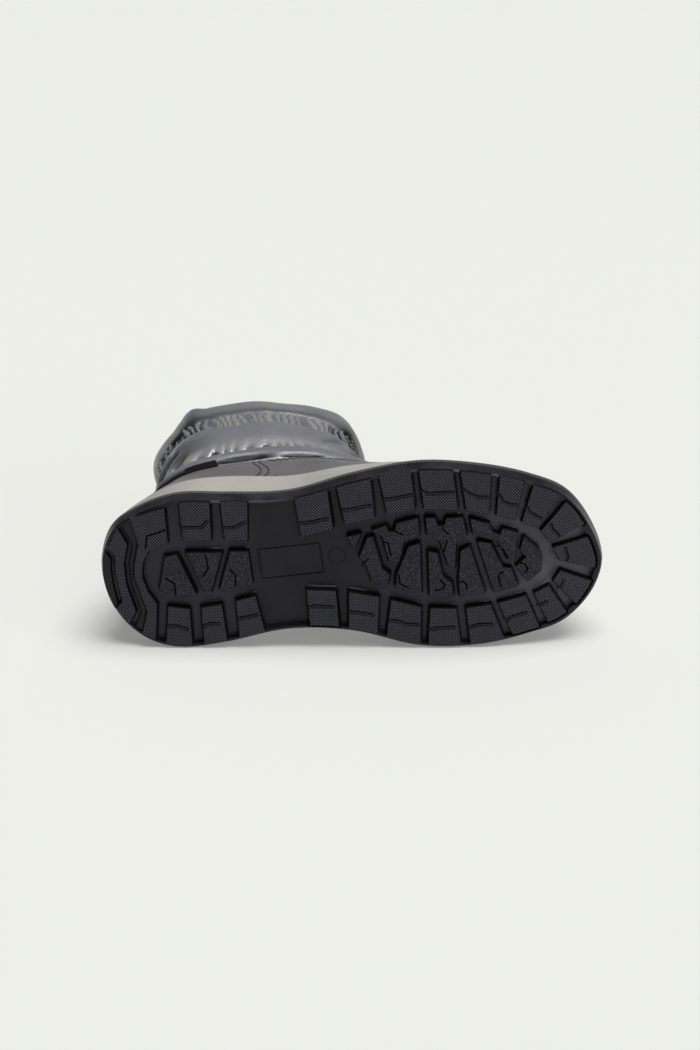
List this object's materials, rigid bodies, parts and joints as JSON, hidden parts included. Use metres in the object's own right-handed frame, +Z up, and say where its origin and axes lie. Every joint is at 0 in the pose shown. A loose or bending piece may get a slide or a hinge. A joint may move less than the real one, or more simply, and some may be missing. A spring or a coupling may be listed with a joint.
{
  "type": "winter boot",
  "caption": "Quilted winter boot for the right foot, lying on its inner side, with a lugged rubber outsole, ribbed midsole, coated lower upper and padded nylon shaft.",
  "frame": {"origin": "centre of the bounding box's base, on the floor under the lying boot", "axes": "+X from heel to toe, -Y from collar to tread (the tread faces -Y), +Z up, the boot's outer (lateral) side up"},
  "size_m": [0.28, 0.2049, 0.1065],
  "materials": {
    "black_rubber": "matte moulded rubber",
    "grey_rubber": "matte foam rubber",
    "coated_leather": "smooth coated, satin",
    "coated_leather_light": "smooth coated, satin",
    "quilted_nylon": "quilted nylon with a metallic sheen",
    "woven_label": "woven, bare",
    "felt_insole": "felt"
  },
  "bodies": {
    "root": {"outsole": "black_rubber", "midsole": "grey_rubber", "upper": "coated_leather", "counter": "coated_leather_light", "shaft": "quilted_nylon", "side_tab": "woven_label", "insole": "felt_insole"}
  },
  "joints": []
}
